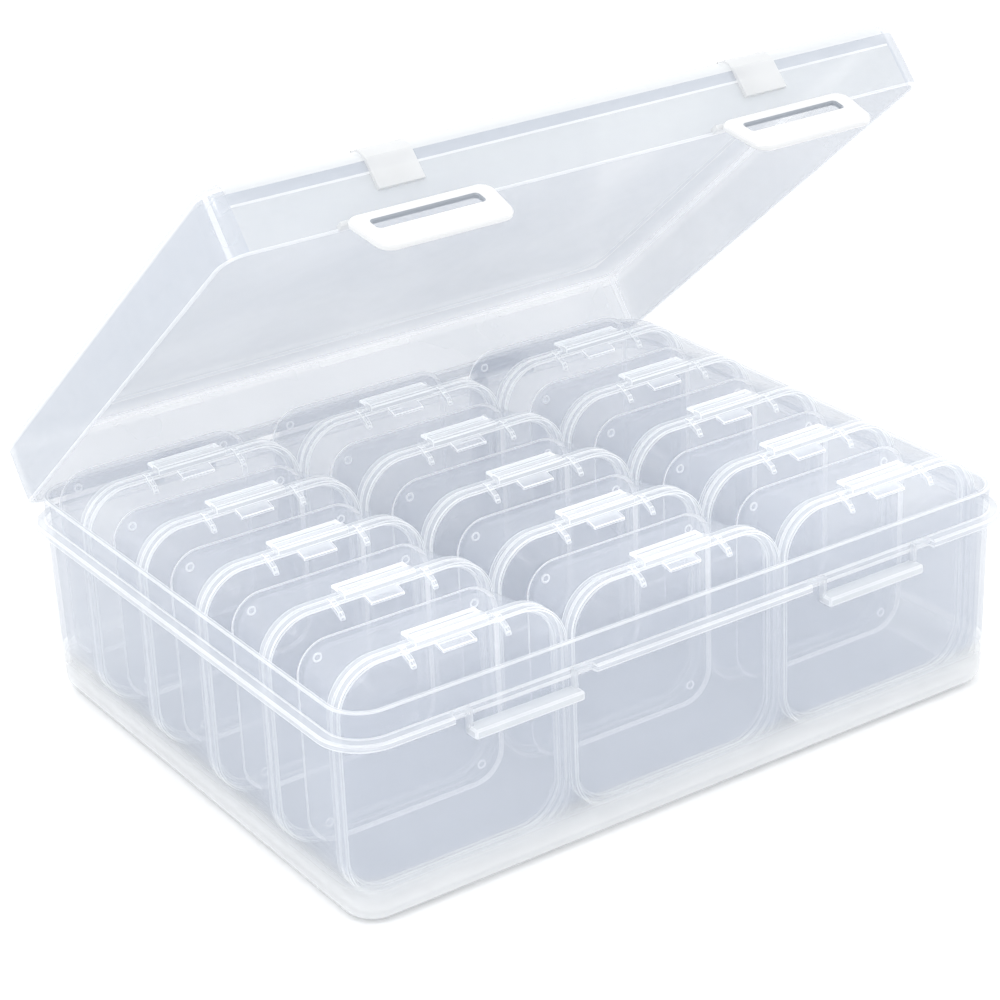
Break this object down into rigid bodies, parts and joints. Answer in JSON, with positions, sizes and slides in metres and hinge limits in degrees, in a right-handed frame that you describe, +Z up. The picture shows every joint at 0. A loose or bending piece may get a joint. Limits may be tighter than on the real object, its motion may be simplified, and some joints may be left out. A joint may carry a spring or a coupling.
{
  "type": "bead storage box",
  "caption": "Clear storage case with a hinged latching lid, holding small flip-top boxes that stand on edge and lift out, for beads and craft parts.",
  "frame": {"origin": "middle of the case's flat underside", "axes": "+X to the right, +Y to the back where the lid is hinged, +Z up"},
  "size_m": [0.1724, 0.1461, 0.1425],
  "materials": {
    "case_plastic": "clear to slightly milky polypropylene, smooth",
    "latch_plastic": "milky polypropylene, smooth",
    "box_plastic": "clear to slightly milky polypropylene, smooth"
  },
  "bodies": {
    "case": {"case_base": "case_plastic"},
    "lid": {"case_lid": "case_plastic"},
    "latch_left": {"latch_left": "latch_plastic"},
    "latch_right": {"latch_right": "latch_plastic"},
    "box_row1_left": {"box_tray_row1_left": "box_plastic", "box_lid_row1_left": "box_plastic"},
    "box_row2_left": {"box_tray_row2_left": "box_plastic", "box_lid_row2_left": "box_plastic"},
    "box_row3_left": {"box_tray_row3_left": "box_plastic", "box_lid_row3_left": "box_plastic"},
    "box_row4_left": {"box_tray_row4_left": "box_plastic", "box_lid_row4_left": "box_plastic"},
    "box_row5_left": {"box_tray_row5_left": "box_plastic", "box_lid_row5_left": "box_plastic"},
    "box_row1_middle": {"box_tray_row1_middle": "box_plastic", "box_lid_row1_middle": "box_plastic"},
    "box_row2_middle": {"box_tray_row2_middle": "box_plastic", "box_lid_row2_middle": "box_plastic"},
    "box_row3_middle": {"box_tray_row3_middle": "box_plastic", "box_lid_row3_middle": "box_plastic"},
    "box_row4_middle": {"box_tray_row4_middle": "box_plastic", "box_lid_row4_middle": "box_plastic"},
    "box_row5_middle": {"box_tray_row5_middle": "box_plastic", "box_lid_row5_middle": "box_plastic"},
    "box_row1_right": {"box_tray_row1_right": "box_plastic", "box_lid_row1_right": "box_plastic"},
    "box_row2_right": {"box_tray_row2_right": "box_plastic", "box_lid_row2_right": "box_plastic"},
    "box_row3_right": {"box_tray_row3_right": "box_plastic", "box_lid_row3_right": "box_plastic"},
    "box_row4_right": {"box_tray_row4_right": "box_plastic", "box_lid_row4_right": "box_plastic"},
    "box_row5_right": {"box_tray_row5_right": "box_plastic", "box_lid_row5_right": "box_plastic"}
  },
  "joints": [
    {"name": "lid_hinge", "type": "hinge", "parent": "case", "child": "lid", "pos_m": [0, 0.07, 0.0432], "axis": [-1, 0, 0], "range_deg": [-40, 70]},
    {"name": "latch_left_hinge", "type": "hinge", "parent": "lid", "child": "latch_left", "pos_m": [-0.0445, -0.03802, 0.13345], "axis": [-1, 0, 0], "range_deg": [-37, 60]},
    {"name": "latch_right_hinge", "type": "hinge", "parent": "lid", "child": "latch_right", "pos_m": [0.0445, -0.03802, 0.13345], "axis": [-1, 0, 0], "range_deg": [-37, 60]},
    {"name": "lift_row1_left", "type": "slide", "parent": "case", "child": "box_row1_left", "axis": [0, 0, 1], "range_m": [0, 0.06]},
    {"name": "lift_row2_left", "type": "slide", "parent": "case", "child": "box_row2_left", "axis": [0, 0, 1], "range_m": [0, 0.06]},
    {"name": "lift_row3_left", "type": "slide", "parent": "case", "child": "box_row3_left", "axis": [0, 0, 1], "range_m": [0, 0.05]},
    {"name": "lift_row4_left", "type": "slide", "parent": "case", "child": "box_row4_left", "axis": [0, 0, 1], "range_m": [0, 0.034]},
    {"name": "lift_row5_left", "type": "slide", "parent": "case", "child": "box_row5_left", "axis": [0, 0, 1], "range_m": [0, 0.012]},
    {"name": "lift_row1_middle", "type": "slide", "parent": "case", "child": "box_row1_middle", "axis": [0, 0, 1], "range_m": [0, 0.06]},
    {"name": "lift_row2_middle", "type": "slide", "parent": "case", "child": "box_row2_middle", "axis": [0, 0, 1], "range_m": [0, 0.06]},
    {"name": "lift_row3_middle", "type": "slide", "parent": "case", "child": "box_row3_middle", "axis": [0, 0, 1], "range_m": [0, 0.05]},
    {"name": "lift_row4_middle", "type": "slide", "parent": "case", "child": "box_row4_middle", "axis": [0, 0, 1], "range_m": [0, 0.034]},
    {"name": "lift_row5_middle", "type": "slide", "parent": "case", "child": "box_row5_middle", "axis": [0, 0, 1], "range_m": [0, 0.012]},
    {"name": "lift_row1_right", "type": "slide", "parent": "case", "child": "box_row1_right", "axis": [0, 0, 1], "range_m": [0, 0.06]},
    {"name": "lift_row2_right", "type": "slide", "parent": "case", "child": "box_row2_right", "axis": [0, 0, 1], "range_m": [0, 0.06]},
    {"name": "lift_row3_right", "type": "slide", "parent": "case", "child": "box_row3_right", "axis": [0, 0, 1], "range_m": [0, 0.05]},
    {"name": "lift_row4_right", "type": "slide", "parent": "case", "child": "box_row4_right", "axis": [0, 0, 1], "range_m": [0, 0.034]},
    {"name": "lift_row5_right", "type": "slide", "parent": "case", "child": "box_row5_right", "axis": [0, 0, 1], "range_m": [0, 0.012]}
  ]
}
